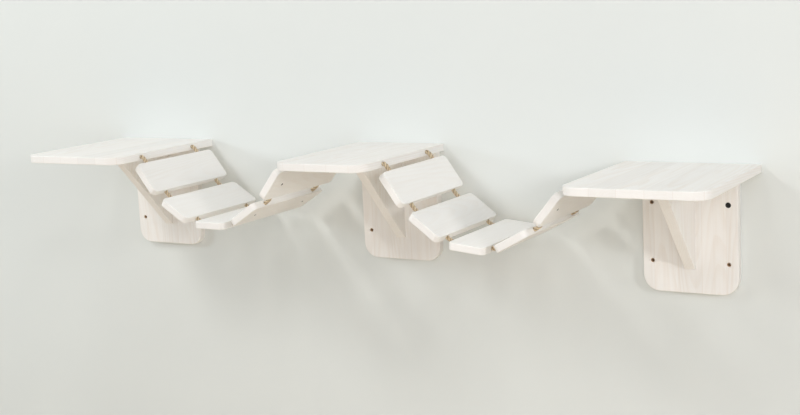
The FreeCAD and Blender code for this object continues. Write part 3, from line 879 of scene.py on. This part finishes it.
for shelf in shelfNames:
    low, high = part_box(f"{shelf}_rope_pins")
    ends = {round(low.x + pinHead, 5), round(high.x - pinHead, 5)}  # one and the same on an outer shelf
    spots = [Vector((x, depth, low.z)) for x in sorted(ends) for depth in ropeDepths.values()]
    places = [(spot, upward, chance.uniform(0, mostSpin)) for spot in spots]
    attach(screwPiece(f"{shelf}_rope_pins", places, **pinSize), "shelves")
    low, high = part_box(f"{shelf}_gusset_screws")
    radius, long = (high.x - low.x) / 2, high.y - low.y
    spots = [Vector(((low.x + high.x) / 2, high.y, z)) for z in (low.z + radius, high.z - radius)]
    places = [(spot, outward, chance.uniform(0, mostSpin)) for spot in spots]
    size = (radius, radius / 2, long)
    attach(screwPiece(f"{shelf}_gusset_screws", places, *size, "gusset", zinc, "zinc_screw"), "shelves")

low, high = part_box("wall_screw")
radius, long = (high.x - low.x) / 2, high.y - low.y
places = [(Vector(((low.x + high.x) / 2, low.y, (low.z + high.z) / 2)), -outward, 0.5)]
size = (radius, radius / 2, long)
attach(screwPiece("wall_screw", places, *size, "wall", black, "black_screw"), "shelves")
print("screws finished")


# ---- dowels

beech = {
    "body": colour(0.68, 0.50, 0.33),
    "fleck": colour(0.47, 0.30, 0.17),
    "fleckShare": 0.5,
    "fleckWaves": (1400.0, 1400.0, 160.0),  # per metre
    "fleckSpan": (0.55, 0.75),
    "roughness": 0.6,
}


def beechMaterial():
    # Bare wood with short dark flecks.
    material, tree, surface = newMaterial("beechDowel", Roughness=beech["roughness"])
    flecks = noise(tree, stretched(tree, objectPlace(tree), beech["fleckWaves"]), 1.0, 2.0)
    share = times(tree, ramp(tree, flecks, beech["fleckSpan"]), beech["fleckShare"])
    tree.links.new(blendColour(tree, share, beech["body"], beech["fleck"]), surface.inputs["Base Color"])
    return material


beechDowel = beechMaterial()
for shelf in shelfNames:
    for part in ("plate_dowels", "gusset_dowels"):
        give(f"{shelf}_{part}", beechDowel)
print("dowels finished")


# ---- wall and floor

room = {
    "wall": colour(0.695, 0.724, 0.708),
    "floor": colour(0.80, 0.68, 0.54),
    "roughness": 0.9,
    "mottleScale": 3.0,
    "mottle": 0.03,
    "drop": 1.15,  # middle shelf's holes down to the floor
    "reach": 7.0,
    "height": 3.0,
    "behind": 0.0004,  # the wall lies this far behind the plates
    "clearRay": 0.001,  # rays shorter than this pass through it
    "sky": colour(0.93, 0.96, 1.0),
    "skyStrength": 0.165,
}


def stageMaterial(name, base):
    # Plain paint with a faint mottle, and clear from behind, so that the object can
    # be looked at from there. It also lets through what starts right at the wall.
    material, tree, surface = newMaterial(name, Roughness=room["roughness"])
    mottle = noise(tree, objectPlace(tree), room["mottleScale"], 3.0)
    light = timesPlus(tree, mottle, room["mottle"], 1 - room["mottle"] / 2)
    tree.links.new(shaded(tree, base, light), surface.inputs["Base Color"])
    behind = put(tree, "ShaderNodeNewGeometry").outputs["Backfacing"]
    rayLength = put(tree, "ShaderNodeLightPath").outputs["Ray Length"]
    clear = calc(tree, "MAXIMUM", behind, calc(tree, "LESS_THAN", rayLength, room["clearRay"]))
    through = put(tree, "ShaderNodeBsdfTransparent")
    mix = put(tree, "ShaderNodeMixShader", (clear, surface.outputs[0], through.outputs[0]))
    end = next(n for n in tree.nodes if n.type == "OUTPUT_MATERIAL")
    tree.links.new(mix.outputs[0], end.inputs[0])
    return material


def sheetOf(name, corners, material):
    mesh = bpy.data.meshes.new(name)
    mesh.from_pydata(corners, [], [(0, 1, 2, 3)])
    mesh.materials.append(material)
    thing = bpy.data.objects.new(name, mesh)
    bpy.context.scene.collection.objects.link(thing)


far, low, top, back = room["reach"], -room["drop"], room["height"], room["behind"]
wallCorners = [(-far, back, low), (far, back, low), (far, back, top), (-far, back, top)]
floorCorners = [(-far, -far, low), (far, -far, low), (far, back, low), (-far, back, low)]
sheetOf("wall", wallCorners, stageMaterial("wallPaint", room["wall"]))
sheetOf("floor", floorCorners, stageMaterial("floorPaint", room["floor"]))

world = bpy.data.worlds.new("room")
bpy.context.scene.world = world
world.use_nodes = True
sky = world.node_tree.nodes["Background"]
sky.inputs["Color"].default_value = room["sky"]
sky.inputs["Strength"].default_value = room["skyStrength"]


# ---- lamps

lamps = {
    "leftLamp": {"place": (-3.2, -1.6, 0.8), "size": 0.45, "watts": 28, "tint": (0.86, 0.95, 1.0)},
    "rightLamp": {"place": (3.2, -1.6, 0.8), "size": 0.45, "watts": 30, "tint": (1.0, 0.98, 0.98)},
    "frontRightLamp": {"place": (1.6, -2.8, 0.6), "size": 1.6, "watts": 26, "tint": (0.95, 0.97, 0.98)},
    "frontLamp": {"place": (0.1, -3.4, 0.5), "size": 1.6, "watts": 15, "tint": (1.0, 0.94, 0.92)},
    "highLeftLamp": {"place": (-1.8, -1.8, 2.0), "size": 0.6, "watts": 28.5, "tint": (1.0, 0.99, 0.97)},
    "highRightLamp": {"place": (1.5, -1.9, 2.2), "size": 0.5, "watts": 7, "tint": (1.0, 0.98, 0.96)},
    "topLamp": {"place": (0.1, -1.0, 2.6), "size": 0.6, "watts": 12.5, "tint": (1.0, 0.98, 0.94)},
    "backLamp": {"place": (0.0, 3.0, 0.6), "size": 2.5, "watts": 60, "tint": (1.0, 1.0, 1.0)},  # for the back
}
lampTarget = Vector((0.1, 0.0, 0.0))
for name, lamp in lamps.items():
    light = bpy.data.lights.new(name, "AREA")
    light.size = lamp["size"]
    light.energy = lamp["watts"]
    light.color = lamp["tint"]
    holder = bpy.data.objects.new(name, light)
    holder.location = lamp["place"]
    aim = lampTarget - Vector(lamp["place"])
    holder.rotation_euler = aim.to_track_quat("-Z", "Y").to_euler()
    bpy.context.scene.collection.objects.link(holder)
print("room and lamps finished")


# ---- camera

camera = {
    "place": (1.3448, -2.2948, 0.4385),
    "down": 9.12,  # degrees below level
    "left": 30.66,  # degrees to the left of straight at the wall
    "roll": 2.88,
    "lens": 60.17,  # millimetres
    "shift": (0.0042, -0.0106),
}
down, left, roll = (math.radians(camera[k]) for k in ("down", "left", "roll"))
ahead = Vector((-math.sin(left) * math.cos(down), math.cos(left) * math.cos(down), -math.sin(down)))
level = Vector((math.cos(left), math.sin(left), 0))
under = ahead.cross(level)
rightward = level * math.cos(roll) + under * math.sin(roll)
downward = under * math.cos(roll) - level * math.sin(roll)
lens = bpy.data.cameras.new("camera")
lens.lens = camera["lens"]
lens.shift_x, lens.shift_y = camera["shift"]
eye = bpy.data.objects.new("camera", lens)
turned = Matrix((rightward, -downward, -ahead)).transposed().to_4x4()
eye.matrix_world = Matrix.Translation(camera["place"]) @ turned
bpy.context.scene.collection.objects.link(eye)
bpy.context.scene.camera = eye
bpy.context.scene.view_settings.view_transform = "Standard"
print("camera set")
